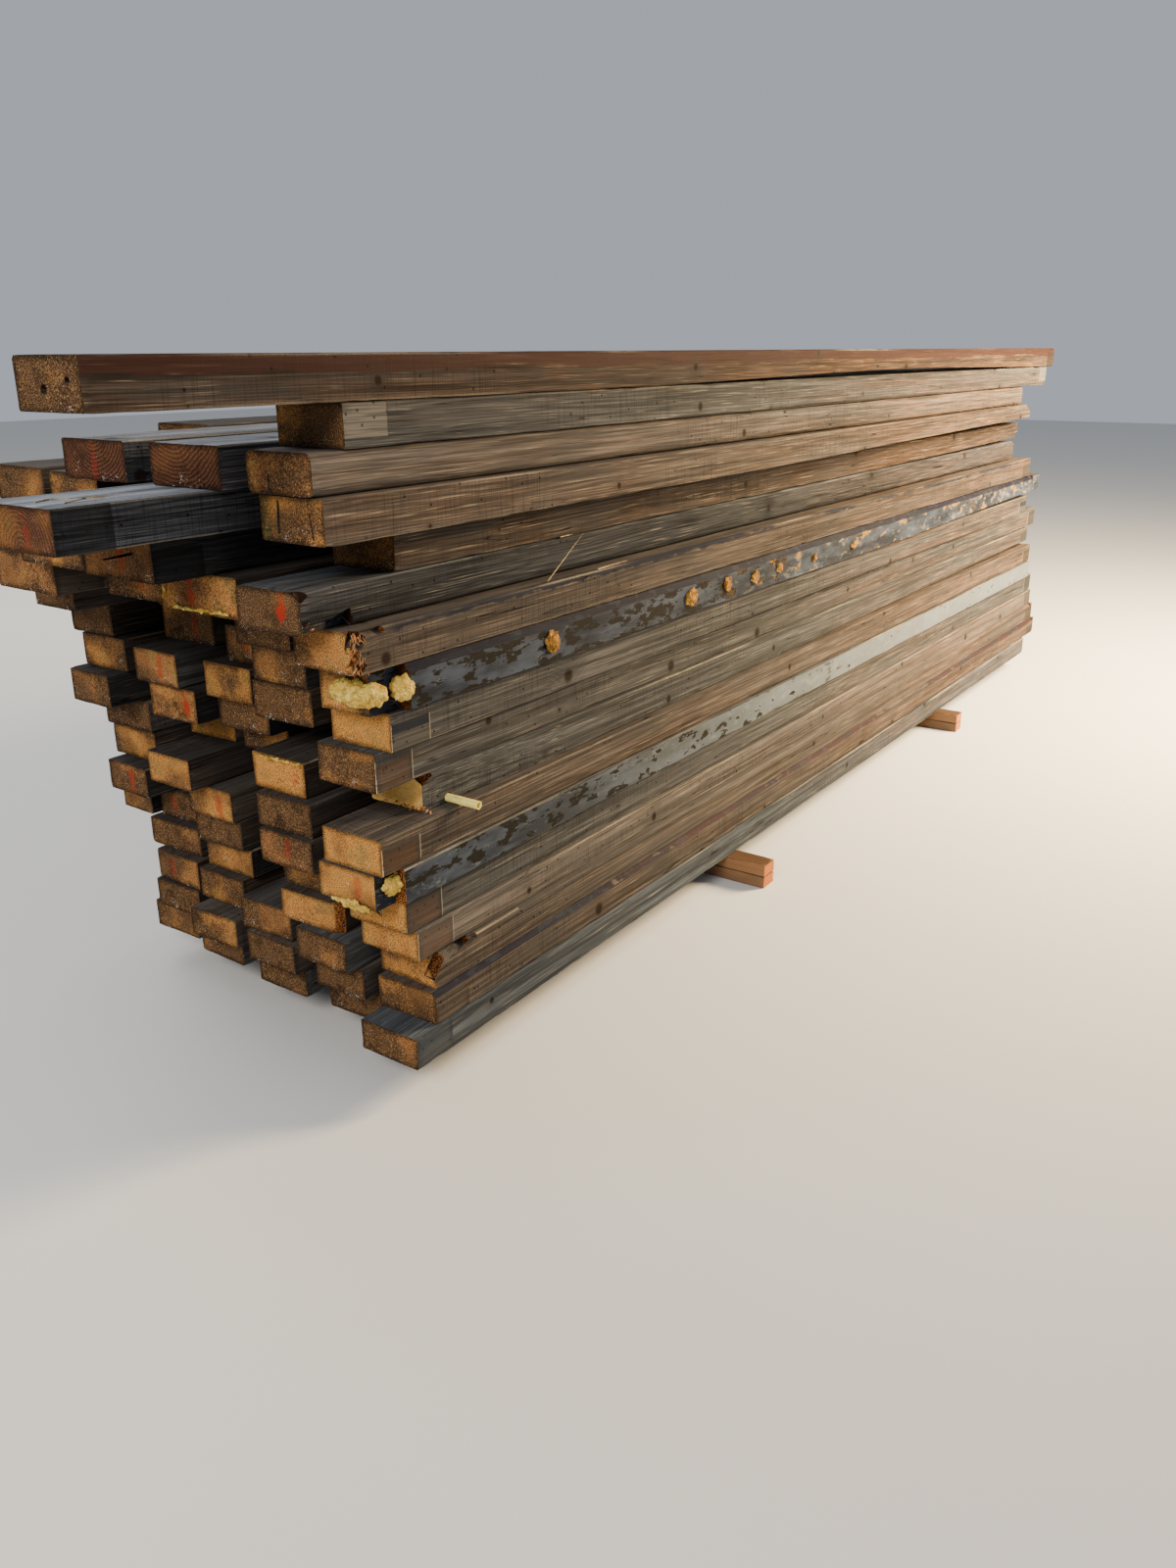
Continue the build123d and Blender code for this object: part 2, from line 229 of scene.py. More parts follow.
def joistWood():
    s = Shader("weatheredJoistWood")
    look, marks = woodLook, woodMarks
    grain = s.vector("grain")
    along, across, up = s.split(grain)
    length, halfAcross, halfUp = s.split(s.vector("halfSizes"))
    pithAcross, pithUp, seed = s.split(s.vector("pith"))
    tint = s.vector("tint")
    endGold, sideWarm, dirt = s.split(s.vector("tone"))
    nearMark, farMark, inked = s.split(s.vector("marks"))
    printLow, printHigh, redEnd = s.split(s.vector("printSpan"))
    facePaintShare, bevelPaintShare, wine = s.split(s.vector("paint"))
    isEnd, isTop, isBevel = s.split(s.vector("faceIs"))
    wetness, edgePale, rusty = s.split(s.vector("extras"))
    topPale, ringed, greenEdge = s.split(s.vector("more"))
    isFace = (1 - isTop) * (1 - isEnd)
    notEnd = 1 - isEnd
    sx, sy, sz = s.split(grain + s.join(seed * 7.31, seed * 3.17, seed * 5.73))

    # Noises of the wood: long wander, blotches, fibres, saw lines and the coarse grit of a sawn end.
    wander, blotch, broad, fibre, sawLines, hair, grit, endBlotch, endShade, flakes, streaks, patches = [
        s.rough(s.join(sx * alongCount, sy * acrossCount, sz * upCount), 1.0, *kind)
        for alongCount, acrossCount, upCount, *kind in woodNoises.values()]
    drift = s.rough(s.join(sx * 2.0, sy * 7.0, sz * 7.0 + 9.0), 1.0, 1.0)
    sawMask = s.between(drift, 0.4, 0.6)
    ragged = (grit - 0.5) * 0.005

    # Knots: one place in each stretch of about half a metre, at a random height of the face.
    knotPlace = along + seed * 11.7
    knotFar = s.spots(knotPlace, marks["knots"], dimensions="1D") / marks["knots"]
    knotOne, knotTwo, knotThree = s.split(s.spots(knotPlace, marks["knots"], out=1, dimensions="1D"))
    faceUp = up * (1 - isTop) + across * isTop
    knotUp = faceUp - (knotOne - 0.5) * marks["knotScatter"]
    knotSize = knotTwo * marks["knotVary"] + marks["knotRadius"]
    knotShare = (s.root(knotFar * knotFar + knotUp * knotUp) + (blotch - 0.5) * 0.006) / knotSize
    knotThere = s.between(knotThree, 0.35, 0.4) * notEnd
    knot = (1 - s.between(knotShare, 0.75, 1.05)) * knotThere
    halo = (1 - s.between(knotShare, 0.9, 3.8)) * knotThere

    # Growth rings round a pith line that wanders, bent round the knots.
    ringAcross = across - pithAcross + (wander - 0.5) * 0.05
    ringUp = up - pithUp + (broad - 0.5) * 0.009 + (drift - 0.5) * 0.024
    ringAt = s.root(ringAcross * ringAcross + ringUp * ringUp) + halo * 0.007
    ringPart = s.part(ringAt * marks["rings"])
    late = s.between(ringPart, 0.3, 0.9) * (1 - s.between(ringPart, 0.93, 1.0))
    wideRing = s.part(ringAt * marks["wideRings"])
    wideLate = s.between(wideRing, 0.2, 0.75) * (1 - s.between(wideRing, 0.85, 1.0))

    crackLine = s.size(s.rough(s.join(sx * 1.1, sy * 46.0, sz * 46.0), 1.0, 1.0, 0.4) - 0.5)
    crack = (1 - s.between(crackLine, 0.0, marks["crackWidth"])) * s.between(blotch, 0.47, 0.57) * notEnd
    nailFar = s.spots(s.join(sx, sy * isTop + sz * (1 - isTop)), marks["nails"], dimensions="2D")
    nail = (1 - s.between(nailFar, 0.03, 0.05)) * notEnd * s.between(drift, 0.48, 0.54)
    arris = s.most(halfAcross - s.size(across), halfUp - s.size(up))
    toFar = length - along

    # Side and top faces.
    side = s.blend(late * (0.34 + blotch * 0.4), tint * 1.12, tint * 0.5)
    # Each joist's own warmth, plus painted sunlight: from 1.4 m along towards the far end, the sides turn
    # warmer and less grey.
    warmthAndPaintedSun = sideWarm + s.between(along, 1.4, 2.6) * 0.5
    warmTone = s.blend(late * 0.4, look["warmSide"], tint * 0.7)
    side = s.blend(warmthAndPaintedSun * s.between(broad, 0.3, 0.62), side, warmTone)
    side = s.blend(s.between(fibre, 0.58, 0.36) * 0.7, side, tint * 0.36)
    side = s.blend(s.between(streaks, 0.52, 0.62) * 0.7, side, tint * 0.26)
    side = s.blend(s.between(streaks, 0.48, 0.38) * 0.5, side, tint * 1.6)
    side = s.blend(s.between(hair, 0.54, 0.44) * 0.5, side, tint * 0.26)
    side = s.blend(s.between(fibre, 0.6, 0.76) * 0.28, side, look["paleFibre"])
    weather = s.most(isTop * 0.6, s.between(blotch, 0.4, 0.68) * 0.7) * (1 - warmthAndPaintedSun * 0.8)
    side = s.blend(weather * 0.5, side, s.blend(late * 0.5 + fibre * 0.4, look["greySide"], tint * 0.45))
    silver = s.between(fibre, 0.36, 0.62) * 0.6 + s.between(broad, 0.4, 0.6) * 0.35
    silver = (isTop + isFace * 0.3) * topPale * silver
    side = s.blend(silver * (1 - late * 0.4), side, look["paleTop"])
    side = s.blend(s.between(sawLines, 0.5, 0.72) * sawMask * 0.4, side, look["stainAndShade"])
    side = s.blend((s.between(blotch, 0.44, 0.7) * 0.75 + 0.1) * dirt, side, look["stainAndShade"])
    band = s.between(up + (blotch - 0.5) * 0.05, marks["bandFrom"], marks["bandFrom"] + 0.004) * isFace
    skin = s.between(up + (flakes - 0.5) * 0.03, marks["skinFrom"], marks["skinFrom"] + 0.003)
    skin = skin * isFace * s.between(blotch, 0.4, 0.5)
    side = s.blend(band * s.between(wetness, 0.0, 1.0) * 0.8, side, look["wetStain"])
    side = s.blend(skin * s.between(wetness, 0.0, -1.0) * 0.8, side, look["blueSkin"])
    side = s.blend(knot * 0.9, side, s.blend(s.between(knotShare, 0.4, 0.9), look["knot"], tint * 0.45))
    side = s.blend(halo * (1 - knot) * 0.4, side, tint * 0.5)
    side = s.blend(crack * 0.9, side, look["soot"])
    side = s.blend(nail * 0.85, side, look["soot"])
    worn = (1 - s.between(arris + ragged, 0.0, marks["wornWidth"])) * s.between(drift, 0.45, 0.65)
    side = s.blend(worn * notEnd * 0.4, side, look["paleFibre"])

    # Dark prints that joist hangers left at the ends: dark at their edges, browner in the middle.
    above = up / halfUp
    below = printHigh - above
    tall = s.between(above + ragged * 8.0 - printLow, -0.03, 0.03) * s.between(below, -0.03, 0.03)
    nearGap = nearMark - along + ragged * 0.4
    farGap = farMark - toFar + ragged * 0.4
    nearPrint = s.between(nearGap, -0.001, 0.001) * s.between(nearMark, 0.01, 0.02)
    farPrint = s.between(farGap, -0.001, 0.001) * s.between(farMark, 0.01, 0.02)
    printed = s.most(nearPrint, farPrint) * tall * isFace
    inwardNear = s.least(nearGap, along) * 28.0
    inward = s.least(s.least(inwardNear, below), above - printLow) + (flakes - 0.5) * 0.5
    middleTone = s.blend(edgePale, tint * 0.7, look["printMiddle"])
    printTone = s.blend(s.between(inward, 0.05, 0.5), tint * 0.35, middleTone)
    inkTone = s.blend(s.between(above, -0.12, -0.06), look["greyPrint"], look["inkedPrint"])
    printTone = s.blend(inked, printTone, inkTone)
    printTone = s.blend(s.between(inked, 0.0, -1.0), printTone, look["palePrint"])
    printTone = s.blend(s.between(fibre, 0.58, 0.36) * 0.6, printTone, tint * 0.35)
    hangerNails = s.spots(s.join(sx, sz), marks["hangerNails"], dimensions="2D")
    printTone = s.blend((1 - s.between(hangerNails, 0.05, 0.1)) * 0.7, printTone, look["soot"])
    side = s.blend(printed * (0.5 + blotch * 0.5 + s.size(inked) * 0.2), side, printTone)
    stopLine = s.least(s.between(s.size(nearGap), 0.0, 0.0018), s.between(s.size(farGap), 0.0, 0.003))
    lineTone = s.blend(edgePale, tint * 0.3, look["paleFibre"])
    side = s.blend((1 - stopLine) * tall * isFace * 0.4, side, lineTone)
    paleEdge = (1 - s.between(along + ragged, 0.001, 0.0034)) * s.between(below, -0.05, 0.05)
    side = s.blend(paleEdge * edgePale * isFace, side, look["paleFibre"])

    # Old paint on faces and on the bevelled arris.
    flake = flakes * 0.55 + drift * 0.45
    facePaint = s.between(flake + facePaintShare, 0.98, 1.01) * s.between(facePaintShare, 0.01, 0.05)
    facePaint = facePaint * isFace * (1 - isBevel)
    bevelPaint = s.between(flake + bevelPaintShare, 0.97, 1.02) * s.between(bevelPaintShare, 0.01, 0.05)
    bevelPaint = bevelPaint * isBevel
    paintTone = s.blend(s.between(blotch, 0.36, 0.62), look["bluePaint"], look["deepPaint"])
    drips = s.rough(s.join(sx * 30.0, sz * 3.0, seed), 1.0, 2.0, 0.6)
    dripsHere = s.between(drips, 0.66, 0.7) * s.between(along, 1.7, 2.4) * (1 - rusty)
    paintTone = s.blend(dripsHere * 0.6, paintTone, look["palePaint"])
    paintTone = s.blend(s.between(flakes, 0.52, 0.62) * 0.26, paintTone, look["palePaint"])
    paintTone = s.blend(s.between(along, 0.0, 2.4) * (1 - rusty) * 0.5, paintTone, look["palePaint"])
    scabFewer = s.between(along, 0.9, 2.0) * 0.08 + (1 - rusty) * 0.025
    scab = s.between(flakes * 0.7 + patches * 0.5 - scabFewer, 0.615, 0.621)
    paintTone = s.blend(scab, paintTone, look["paintScab"])
    wineHere = s.between(along + blotch * 0.6, 0.7, 1.3) * wine
    bevelTone = s.blend(wineHere, look["violetPaint"], look["winePaint"])
    bevelTone = s.blend(s.between(blotch, 0.46, 0.6) * 0.7, bevelTone, look["deepPaint"])
    bevelTone = s.blend(s.between(flakes, 0.54, 0.6) * 0.2, bevelTone, look["bluePaint"])
    side = s.blend(facePaint * 0.92, side, paintTone)
    side = s.blend(bevelPaint * 0.9, side, bevelTone)
    rust = s.between(flakes + (patches - 0.5) * 0.3, 0.6, 0.63) * s.between(along, 1.1, 1.7) * rusty
    side = s.blend(rust * isFace * (1 - isBevel) * 0.75, side, look["rust"])

    # Sawn ends: gold to dark with paler patches, rings, dark rims, fine grit with painted shade in its
    # pits and painted highlights on its peaks, stains, a red smear and broken wood deeper in, darkened
    # partly by painted shade.
    fresh = s.between(endGold, 1.2, 1.4) * (1 - s.between(along, 1.0, 2.0))
    goldShade = endShade + (endBlotch - 0.5) * 0.5 + (s.least(endGold, 1.0) - 0.5) * 0.42
    goldHere = s.between(goldShade, 0.3, 0.68)
    browner = s.part(seed * 9.1) * (1 - s.between(endGold, 0.5, 1.0)) * 0.9
    endTone = s.blend(goldHere, look["darkEnd"], s.blend(browner, look["goldenEnd"], look["brownEnd"]))
    # Paler patches on the golden ends: partly the wood's own paleness, partly painted highlight.
    paleAndHighlightHere = s.between(goldHere, 0.7, 1.0) * s.between(endBlotch, 0.5, 0.7)
    endTone = s.blend(paleAndHighlightHere * 0.7, endTone, look["paleEndAndHighlight"])
    endTone = s.blend(fresh, endTone, look["freshEnd"])
    lateTone = s.blend(fresh, look["darkEnd"], look["goldenEnd"])
    endTone = s.blend(late * (0.3 + fresh * 0.1), endTone, lateTone)
    endTone = s.blend(ringed * 0.9, endTone, s.blend(wideLate, look["ringedPale"], look["ringedEnd"]))
    stained = s.between(endBlotch, 0.5, 0.66) * (0.25 + dirt * 0.5) * (1 - fresh)
    endTone = s.blend(stained, endTone, look["stainAndShade"])
    greenHere = s.between(across + (endBlotch - 0.5) * 0.02, halfAcross * 0.55, halfAcross * 0.8)
    endTone = s.blend(greenHere * greenEdge * 0.7, endTone, look["greenEnd"])
    # Dark specks where the grit is low, in the pits of the end's relief: partly dark grain, partly
    # painted shade in the pits.
    pitted = s.between(grit, 0.53, 0.4) * (0.7 - fresh * 0.54 - ringed * 0.4)
    endTone = s.blend(pitted, endTone, look["stainAndShade"])
    # Pale specks on the peaks of the grit relief: partly pale grain, partly painted highlight glinting on
    # the rough end.
    paleGritAndGlints = s.between(grit, 0.55, 0.7) * (0.42 - stained * 0.3) * (1 - ringed * 0.8)
    endTone = s.blend(paleGritAndGlints, endTone, look["paleEndAndHighlight"])
    freshStain = s.between(endBlotch * 0.06 - across, 0.07, 0.1) * fresh
    endTone = s.blend(freshStain * 0.7, endTone, look["darkEnd"])
    endTone = s.blend(s.between(endBlotch, 0.44, 0.62) * fresh * 0.6, endTone, look["goldenEnd"])
    freshLines = s.between(s.rough(s.join(sy * 40.0, sz * 420.0, seed)), 0.5, 0.36)
    endTone = s.blend(freshLines * fresh * 0.4, endTone, look["goldenEnd"])
    rimAt = s.least(halfAcross - s.size(across), halfUp - s.size(up))
    rimAt = rimAt + ragged * 1.4 + (endBlotch - 0.5) * 0.016
    rim = 1 - s.between(rimAt, 0.0, marks["rimWidth"])
    endTone = s.blend(rim * 0.72 * (1 - fresh), endTone, look["stainAndShade"])
    endTone = s.blend(s.between(flakes + grit - up * 2.2, 1.29, 1.33) * 0.6, endTone, look["chalk"])
    smearAcross = (across - (s.part(seed * 13.7) - 0.6) * 0.07) * 60.0
    smearUp = up * 26.0
    smear = s.root(smearAcross * smearAcross + smearUp * smearUp) + (flakes - 0.5) * 2.2
    endTone = s.blend((1 - s.between(smear, 0.35, 0.8)) * redEnd * 0.8, endTone, look["redSmear"])
    # Faces more than about 7 mm in from the end, in chips and breaks, take broken-wood tones; the dark
    # tone is partly painted shade in these recesses.
    deep = s.between(s.least(along, toFar), marks["brokenDepth"], marks["brokenDepth"] + 0.005)
    brokenShare = s.between(fibre * 0.5 + grit * 0.5, 0.46, 0.6) * s.least(endGold, 1.0)
    endTone = s.blend(deep, endTone, s.blend(brokenShare, look["brokenDarkAndShade"], look["brokenPale"]))

    color = s.blend(isEnd, side, endTone)
    height = (fibre * 0.7 + sawLines * sawMask * 0.35) * notEnd + grit * isEnd * 1.6
    normal = s.relief(height, marks["reliefDepth"], 0.9)
    shine = 0.88 - (facePaint + bevelPaint) * 0.22 - band * wetness * 0.15
    return s.finish(color, shine, normal, {"Specular IOR Level": marks["sheen"]})


joistLook = joistWood()
print("joist wood ready")


# Bearer laths: colours of the wood, the dark joint between two laths and the sawn ends.
lathMake = {
    "early": srgb(158, 120, 86),
    "late": srgb(98, 68, 46),
    "fibre": srgb(110, 78, 54),
    "grey": srgb(84, 74, 64),
    "joint": srgb(40, 30, 24),
    "endDark": srgb(150, 84, 44),
    "endPale": srgb(208, 134, 80),
    "endLate": srgb(122, 66, 36),
    "rings": 280.0,
    "grit": 700.0,
    "jointFrom": 0.0135,
    "step": 0.04,
}


def lathWood():
    s = Shader("sawnLathWood")
    make = lathMake
    grain = s.vector("grain")
    gx, gy, gz = s.split(grain)
    isEnd = s.split(s.vector("faceIs"))[0]
    seed = s.split(s.vector("pith"))[2]
    sx, sy, sz = s.split(grain + s.join(seed * 5.1, seed * 2.7, seed * 8.3))
    ringY = gx + 0.03 + (s.rough(s.join(sx * 6.0, sy * 0.9, sz * 6.0), 1.0, 1.0) - 0.5) * 0.03
    ringZ = gz - 0.05 + (s.rough(s.join(sx * 2.0, sy * 0.6, sz * 2.0 + 4.0), 1.0, 1.0) - 0.5) * 0.04
    ringPart = s.part(s.root(ringY * ringY + ringZ * ringZ) * make["rings"])
    late = s.between(ringPart, 0.3, 0.9) * (1 - s.between(ringPart, 0.93, 1.0))
    fibre = s.rough(s.join(sx * 420.0, sy * 7.0, sz * 420.0), 1.0, 3.0, 0.6)
    blotch = s.rough(s.join(sx * 9.0, sy * 3.0, sz * 9.0), 1.0, 4.0)
    color = s.blend(late * 0.6, make["early"], make["late"])
    color = s.blend(fibre * 0.5, color, make["fibre"], "MULTIPLY")
    color = s.blend(s.between(blotch, 0.42, 0.66) * 0.7, color, make["grey"])
    joint = s.between(s.size(gz) + (fibre - 0.5) * 0.002, make["jointFrom"], make["jointFrom"] + 0.002)
    color = s.blend(joint * 0.75, color, make["joint"])
    grit = s.rough(grain, make["grit"], 2.0, 0.7)
    endTone = s.blend(s.between(grit, 0.4, 0.65), make["endDark"], make["endPale"])
    endTone = s.blend(late * 0.4, endTone, make["endLate"])
    color = s.blend(isEnd, color, endTone)
    height = fibre * 0.5 + late * 0.3 + grit * isEnd
    return s.finish(color, 0.82 + fibre * 0.1, s.relief(height, 0.001, 0.8), {"Specular IOR Level": 0.1})


# Foam lumps: colours, the remeshing and bubbling in metres, and what light has browned.
foamMake = {
    "yellow": srgb(230, 202, 102),
    "deepYellow": srgb(204, 164, 66),
    "orange": srgb(190, 122, 30),
    "brown": srgb(76, 46, 22),
    "bubbleEdge": srgb(112, 82, 34),
    "hollowShade": srgb(120, 84, 40),
    "speck": srgb(84, 62, 40),
    "voxel": 0.0022,
    "bubbleCount": 62,
    "bubble": 0.012,
    "fineCount": 300,
    "fine": 0.0022,
    "inset": 0.0006,
    "brownedFrom": -1.75,
    "browned": 0.85,
}


def curedFoam():
    s = Shader("curedGapFoam")
    make = foamMake
    place = s.objectPlace()
    browned = s.number("browned")
    bubbles = s.spots(place, 260.0)
    lumps = s.rough(place, 70.0, 4.0, 0.6)
    patch = s.rough(place, 34.0, 3.0)
    color = s.blend(s.between(patch, 0.35, 0.65), make["yellow"], make["deepYellow"])
    color = s.blend(browned, color, s.blend(s.between(lumps, 0.38, 0.54), make["orange"], make["brown"]))
    color = s.blend(s.between(bubbles, 0.3, 0.75) * 0.45, color, make["bubbleEdge"])
    # Darker where the lumps relief is low: painted shade in the hollows of the foam.
    color = s.blend(s.between(lumps, 0.52, 0.38) * 0.45, color, make["hollowShade"])
    color = s.blend(s.between(s.rough(place, 420.0, 2.0), 0.62, 0.7) * 0.5, color, make["speck"])
    height = s.between(bubbles, 0.0, 0.6) + lumps * 1.2
    fixed = {"Subsurface Weight": 0.12, "Subsurface Scale": 0.004, "Specular IOR Level": 0.2}
    return s.finish(color, 0.62 + lumps * 0.3, s.relief(height, 0.0014, 0.9), fixed)


# Tube stub: colours, and how steep a face along the tube still counts as its round wall.
conduitMake = {
    "plastic": srgb(232, 214, 120),
    "grime": srgb(150, 122, 62),
    "scratch": srgb(190, 166, 90),
    "roundBelow": 0.5,
}


def conduitPlastic():
    s = Shader("yellowConduitPlastic")
    make = conduitMake
    place = s.objectPlace()
    px, py, pz = s.split(place)
    grime = s.rough(place, 60.0, 4.0, 0.6)
    scratch = s.rough(s.join(px * 900.0, py * 24.0, pz * 900.0), 1.0, 2.0)
    color = s.blend(s.between(grime, 0.45, 0.75) * 0.55, make["plastic"], make["grime"])
    color = s.blend(s.between(scratch, 0.62, 0.72) * 0.5, color, make["scratch"])
    height = scratch * 0.4 + grime * 0.4
    return s.finish(color, 0.42 + grime * 0.3, s.relief(height, 0.0005, 0.6))


lathLook = lathWood()
foamLook = curedFoam()
conduitLook = conduitPlastic()
print("other finishes ready")

# Slicing and wear of the timbers, in metres. The visible long joists get finer slices than the rest.
carving = {
    "frontStep": 0.024,
    "backStep": 0.06,
    "innerStep": 0.03,
    "wideFrom": 0.04,
    "endSlices": (0.0035, 0.009, 0.018, 0.034),
    "arrisSlices": (0.006, 0.016),
    "chipDepth": 0.0032,
    "chipReach": 0.008,
    "faceDepth": 0.0007,
    "endDepth": 0.0022,
    "endReach": 0.02,
    "alongCount": 7.0,
    "acrossCount": 30.0,
    "sharpFrom": math.radians(28),
    "endFrom": 0.5,
    "topFrom": 0.75,
    "bevelFrom": 0.3,
}

# Tones of the sides, then how each joist looks, by course and by place from the front. In order: tone of
# the wood, gold of the end (2 is freshly cut), warmth of the sides, dirt, lengths of the hanger prints at
# both ends, the lowest and highest share of the face that they cover, inked print (1 is dark, -1 pale),
# paint on the face and on the bevel, wine colour of that bevel, band under the top (1 is wet, -1 a blue
# skin), pale edge at the near end, rust spots, red smear on the end, paleness of the top, clear rings on
# the end and green at its edge.
woodTones = {
    "ash": srgb(77, 77, 76),
    "silver": srgb(75, 80, 85),
    "tan": srgb(96, 89, 83),
    "oak": srgb(83, 75, 68),
    "umber": srgb(64, 56, 50),
    "char": srgb(43, 43, 44),
}
plain = dict(wood="umber", gold=0.55, warm=0.35, dirt=0.5, nearPrint=0.0, farPrint=0.0, low=-1.2,
             high=0.5, inked=0.0, paint=0.0, bevel=0.0, wine=0.0, wet=0.0, edge=0.0, rusty=0.0, red=0.0,
             top=0.0, ringed=0.0, green=0.0)
fronts = {
    1: dict(wood="silver", gold=0.2, warm=0.0, dirt=0.4, nearPrint=0.1, high=1.2, inked=0.3),
    2: dict(wood="oak", gold=0.3, warm=0.1, dirt=0.4, nearPrint=0.1, farPrint=0.1, high=0.1,
            bevel=0.56, wine=1.0),
    3: dict(wood="oak", gold=0.6, warm=0.0, dirt=0.3, farPrint=0.1, high=0.6),
    4: dict(wood="tan", gold=0.8, warm=0.0, dirt=0.35, nearPrint=0.1, farPrint=0.1, high=0.9, edge=0.7),
    5: dict(wood="ash", gold=1.1, warm=0.0, dirt=0.4, nearPrint=0.1, farPrint=0.1, high=0.88, edge=0.8),
    6: dict(wood="ash", gold=1.0, warm=0.0, dirt=0.3, paint=0.62, red=0.5),
    7: dict(wood="oak", gold=1.0, warm=0.15, dirt=0.4, nearPrint=0.1, farPrint=0.1, high=0.48, edge=0.9),
    8: dict(wood="ash", gold=2.0, warm=0.0, dirt=0.45, farPrint=0.1),
    9: dict(wood="ash", gold=0.4, warm=0.1, dirt=0.4, nearPrint=0.095, farPrint=0.1, high=0.62, edge=0.9),
    10: dict(wood="ash", gold=0.95, warm=0.1, dirt=0.35, nearPrint=0.1, farPrint=0.1, high=0.42,
             inked=1.0, edge=0.9),
    11: dict(wood="umber", gold=0.3, warm=0.0, dirt=0.5, paint=0.6, bevel=0.74, rusty=1.0),
    12: dict(wood="oak", gold=0.45, warm=0.1, dirt=0.5, farPrint=0.1, wet=-1.0),
    13: dict(wood="char", gold=-0.1, warm=0.0, dirt=0.4, red=0.9, top=0.25),
    14: dict(wood="umber", gold=0.3, warm=0.1, dirt=0.4),
    15: dict(wood="oak", gold=0.5, warm=0.3, dirt=0.2, green=1.0),
    16: dict(wood="tan", gold=0.3, warm=0.2, dirt=0.25),
    17: dict(wood="ash", gold=0.0, warm=0.1, dirt=0.25, nearPrint=0.1, farPrint=0.1, low=-0.55,
             high=1.2, inked=-1.0),
    18: dict(wood="umber", gold=-0.3, warm=0.25, dirt=0.3, farPrint=0.1, wet=1.0),
}
others = {
    (15, 1): dict(wood="char", gold=0.35, warm=0.0, dirt=0.4, nearPrint=0.1, high=1.2, red=0.3,
                  top=1.0, ringed=0.8),
    (14, 1): dict(wood="char", gold=0.6, warm=0.0, dirt=0.5, nearPrint=0.1, ringed=0.3),
    (13, 1): dict(wood="umber", gold=0.6, warm=0.1, dirt=0.8, red=0.6),
    (8, 1): dict(wood="umber", gold=1.0, warm=0.1, dirt=0.5, red=0.4),
    (9, 1): dict(wood="umber", gold=2.0, dirt=0.7),
    (6, 3): dict(gold=0.5, red=0.7),
    (7, 3): dict(gold=0.7),
    (9, 3): dict(gold=0.35, red=0.9, dirt=0.9),
    (10, 3): dict(gold=0.5, red=0.6),
    (6, 4): dict(gold=0.3, red=0.6),
    (4, 1): dict(gold=0.7, warm=0.2),
    (16, 1): dict(wood="char", gold=0.2, dirt=0.5, ringed=0.9, top=0.8),
    (16, 2): dict(wood="char", gold=0.2, dirt=0.5, red=0.3, ringed=0.9, top=0.6),
}


def lookOf(course, place, rng):
    look = dict(plain)
    look["wood"] = rng.choice(("char", "umber", "umber", "oak", "ash"))
    look["gold"] = rng.choice((-0.3, 0.0, 0.15, 0.3, 0.5, 0.8))
    look["warm"] = rng.uniform(-0.1, 0.25)
    look["dirt"] = rng.uniform(0.35, 0.75)
    look["nearPrint"] = rng.choice((0.0, 0.0, 0.1))
    look["red"] = rng.choice((0.0, 0.0, 0.0, 0.0, 0.35))
    if place == 0:
        look.update(nearPrint=0.0, red=0.0)
        look.update(fronts[course])
    look.update(others.get((course, place), {}))
    return look


def cleanCopy(node):
    made = bmesh.new()
    made.from_mesh(node.data)
    bmesh.ops.remove_doubles(made, verts=made.verts, dist=1e-6)
    bmesh.ops.dissolve_limit(made, angle_limit=math.radians(0.6), verts=made.verts, edges=made.edges)
    return made


def islandsOf(made):
    found, seen = [], set()
    for start in made.verts:
        if start.index in seen:
            continue
        stack, island = [start], []
        seen.add(start.index)
        while stack:
            vert = stack.pop()
            island.append(vert)
            for edge in vert.link_edges:
                other = edge.other_vert(vert)
                if other.index not in seen:
                    seen.add(other.index)
                    stack.append(other)
        found.append(island)
    return found


def slicePlanes(made, places, axis):
    normal = Vector((axis == 0, axis == 1, axis == 2))
    for place in places:
        everything = made.verts[:] + made.edges[:] + made.faces[:]
        bmesh.ops.bisect_plane(made, geom=everything, dist=1e-7, plane_co=normal * place, plane_no=normal)


def spaced(low, high, step):
    count = max(1, round((high - low) / step))
    return [low + (high - low) * i / count for i in range(1, count)]


def onlyIsland(made, island):
    keep = {v.index for v in island}
    single = made.copy()
    single.verts.ensure_lookup_table()
    bmesh.ops.delete(single, geom=[v for v in single.verts if v.index not in keep], context="VERTS")
    return single


def bothEnds(low, high, depths):
    return [low + d for d in depths] + [high - d for d in depths]


